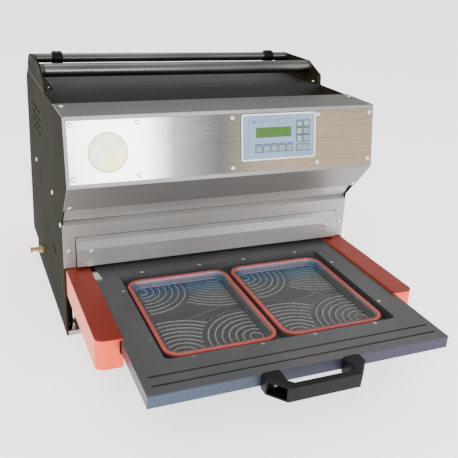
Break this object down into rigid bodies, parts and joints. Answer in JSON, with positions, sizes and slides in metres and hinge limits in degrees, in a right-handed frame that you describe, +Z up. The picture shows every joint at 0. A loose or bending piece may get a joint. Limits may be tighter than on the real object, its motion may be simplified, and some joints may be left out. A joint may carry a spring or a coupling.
{
  "type": "tray sealing machine",
  "caption": "Table-top film sealing machine with a slanted control head, film rollers on top and a pull-out tray drawer between two side rails.",
  "frame": {"origin": "centre of the cabinet base plate's underside, on the table", "axes": "+X to the operator's right, +Y from the operator towards the back, +Z up; the drawer opens towards -Y"},
  "size_m": [0.5894, 0.874, 0.463],
  "materials": {
    "base_steel": "plain cold-rolled sheet, lightly oiled",
    "side_steel": "brushed stainless sheet, dark olive-brown reflections",
    "cover_steel": "brushed stainless sheet, grain across the width",
    "deck_steel": "brushed stainless sheet, dark",
    "front_steel": "bright brushed stainless, grain across the width",
    "trough_steel": "satin stainless sheet",
    "recess_steel": "satin stainless sheet",
    "fascia_steel": "brushed stainless sheet",
    "hood_steel": "brushed stainless sheet with a soft bend",
    "screw_steel": "bright zinc or stainless button heads",
    "bright_steel": "ground and polished steel",
    "rail_anodised": "red-orange anodised extrusion",
    "slide_plastic": "low-friction strip",
    "drawer_anodised": "dark grey hard-anodised plate, fine machining grain",
    "nest_aluminium": "dark anodised, machined",
    "gasket_rubber": "brick-red silicone",
    "handle_plastic": "black moulded, fine grain",
    "tray_clear": "clear thermoformed sheet",
    "heater_aluminium": "machined plate",
    "insulation": "laminated glass-fibre board",
    "bronze": "sintered bronze",
    "roller_steel": "turned stainless, fine circumferential marks",
    "black_plastic": "black moulded",
    "collar_black": "black anodised, turned",
    "keypad_face": "pale blue printed film, fine texture",
    "display_green": "yellow-green window over faint blank character cells",
    "key_caps": "domed pale caps",
    "brass_plated": "brass, light plating",
    "ring_orange": "orange-red acetal",
    "rocker_red": "glossy red"
  },
  "bodies": {
    "cabinet": {"base_plate": "base_steel", "side_plate_left": "side_steel", "side_plate_right": "side_steel", "head_cover": "cover_steel", "front_plate": "front_steel", "cover_screws": "screw_steel", "film_trough": "trough_steel", "rear_top_cover": "deck_steel", "rear_cover": "cover_steel", "film_bracket_left": "side_steel", "film_bracket_right": "side_steel", "underhead_panel": "recess_steel", "fascia": "fascia_steel", "guard_hood": "hood_steel", "rail_left": "rail_anodised", "rail_right": "rail_anodised", "rail_slide_strips": "slide_plastic", "rail_posts": "bright_steel", "press_plate": "heater_aluminium", "guide_bushes": "bronze", "cylinder_body": "heater_aluminium", "roller_bushes": "black_plastic", "keypad_housing": "keypad_face", "display": "display_green", "air_inlet_fitting": "brass_plated", "fitting_release_ring": "ring_orange", "solenoid_valve": "black_plastic", "power_inlet": "black_plastic"},
    "drawer": {"drawer_plate": "drawer_anodised", "nest_block": "nest_aluminium", "gaskets": "gasket_rubber", "drawer_screws": "screw_steel", "handle": "handle_plastic", "handle_screws": "screw_steel", "edge_guide": "bright_steel"},
    "sealing_head": {"knives": "bright_steel", "heater_plates": "heater_aluminium", "insulating_board": "insulation", "crosshead_plate": "heater_aluminium", "guide_rods": "bright_steel", "piston_rod": "bright_steel"},
    "tray_left": {"tray_left": "tray_clear"},
    "tray_right": {"tray_right": "tray_clear"},
    "front_roller": {"front_roller": "roller_steel"},
    "rear_roller": {"rear_roller": "roller_steel"},
    "reel_collar_left": {"reel_collar_left": "collar_black"},
    "reel_collar_right": {"reel_collar_right": "collar_black"},
    "mains_rocker": {"mains_rocker": "rocker_red"},
    "key_f1": {"key_f1": "key_caps"},
    "key_f2": {"key_f2": "key_caps"},
    "key_f3": {"key_f3": "key_caps"},
    "key_f4": {"key_f4": "key_caps"},
    "key_f5": {"key_f5": "key_caps"},
    "key_1": {"key_1": "key_caps"},
    "key_2": {"key_2": "key_caps"},
    "key_3": {"key_3": "key_caps"},
    "key_4": {"key_4": "key_caps"},
    "key_5": {"key_5": "key_caps"},
    "key_6": {"key_6": "key_caps"},
    "key_enter": {"key_enter": "key_caps"}
  },
  "joints": [
    {"name": "drawer_slide", "type": "slide", "parent": "cabinet", "child": "drawer", "axis": [0, 1, 0], "range_m": [0, 0.335]},
    {"name": "sealing_head_slide", "type": "slide", "parent": "cabinet", "child": "sealing_head", "axis": [0, 0, -1], "range_m": [0, 0.0459]},
    {"name": "tray_left_lift", "type": "slide", "parent": "drawer", "child": "tray_left", "axis": [0, 0, -1], "range_m": [-0.06, 0]},
    {"name": "tray_right_lift", "type": "slide", "parent": "drawer", "child": "tray_right", "axis": [0, 0, -1], "range_m": [-0.06, 0]},
    {"name": "key_f1_press", "type": "slide", "parent": "cabinet", "child": "key_f1", "axis": [0, 0.9868, -0.162], "range_m": [0, 0.0006], "stiffness_N_per_m": 200, "springref_m": -0.001},
    {"name": "key_f2_press", "type": "slide", "parent": "cabinet", "child": "key_f2", "axis": [0, 0.9868, -0.162], "range_m": [0, 0.0006], "stiffness_N_per_m": 200, "springref_m": -0.001},
    {"name": "key_f3_press", "type": "slide", "parent": "cabinet", "child": "key_f3", "axis": [0, 0.9868, -0.162], "range_m": [0, 0.0006], "stiffness_N_per_m": 200, "springref_m": -0.001},
    {"name": "key_f4_press", "type": "slide", "parent": "cabinet", "child": "key_f4", "axis": [0, 0.9868, -0.162], "range_m": [0, 0.0006], "stiffness_N_per_m": 200, "springref_m": -0.001},
    {"name": "key_f5_press", "type": "slide", "parent": "cabinet", "child": "key_f5", "axis": [0, 0.9868, -0.162], "range_m": [0, 0.0006], "stiffness_N_per_m": 200, "springref_m": -0.001},
    {"name": "key_1_press", "type": "slide", "parent": "cabinet", "child": "key_1", "axis": [0, 0.9868, -0.162], "range_m": [0, 0.0006], "stiffness_N_per_m": 200, "springref_m": -0.001},
    {"name": "key_2_press", "type": "slide", "parent": "cabinet", "child": "key_2", "axis": [0, 0.9868, -0.162], "range_m": [0, 0.0006], "stiffness_N_per_m": 200, "springref_m": -0.001},
    {"name": "key_3_press", "type": "slide", "parent": "cabinet", "child": "key_3", "axis": [0, 0.9868, -0.162], "range_m": [0, 0.0006], "stiffness_N_per_m": 200, "springref_m": -0.001},
    {"name": "key_4_press", "type": "slide", "parent": "cabinet", "child": "key_4", "axis": [0, 0.9868, -0.162], "range_m": [0, 0.0006], "stiffness_N_per_m": 200, "springref_m": -0.001},
    {"name": "key_5_press", "type": "slide", "parent": "cabinet", "child": "key_5", "axis": [0, 0.9868, -0.162], "range_m": [0, 0.0006], "stiffness_N_per_m": 200, "springref_m": -0.001},
    {"name": "key_6_press", "type": "slide", "parent": "cabinet", "child": "key_6", "axis": [0, 0.9868, -0.162], "range_m": [0, 0.0006], "stiffness_N_per_m": 200, "springref_m": -0.001},
    {"name": "key_enter_press", "type": "slide", "parent": "cabinet", "child": "key_enter", "axis": [0, 0.9868, -0.162], "range_m": [0, 0.0006], "stiffness_N_per_m": 200, "springref_m": -0.001},
    {"name": "front_roller_turn", "type": "hinge", "parent": "cabinet", "child": "front_roller", "pos_m": [0, 0.0075, 0.4445], "axis": [1, 0, 0], "continuous": true},
    {"name": "rear_roller_turn", "type": "hinge", "parent": "cabinet", "child": "rear_roller", "pos_m": [0, 0.1145, 0.4495], "axis": [1, 0, 0], "continuous": true},
    {"name": "reel_collar_left_slide", "type": "slide", "parent": "rear_roller", "child": "reel_collar_left", "axis": [1, 0, 0], "range_m": [-0.02, 0.2]},
    {"name": "reel_collar_right_slide", "type": "slide", "parent": "rear_roller", "child": "reel_collar_right", "axis": [1, 0, 0], "range_m": [-0.2, 0.02]},
    {"name": "mains_rocker_tilt", "type": "hinge", "parent": "cabinet", "child": "mains_rocker", "pos_m": [0.2, 0.24984, 0.10899], "axis": [1, 0, 0], "range_deg": [0, 20]}
  ]
}
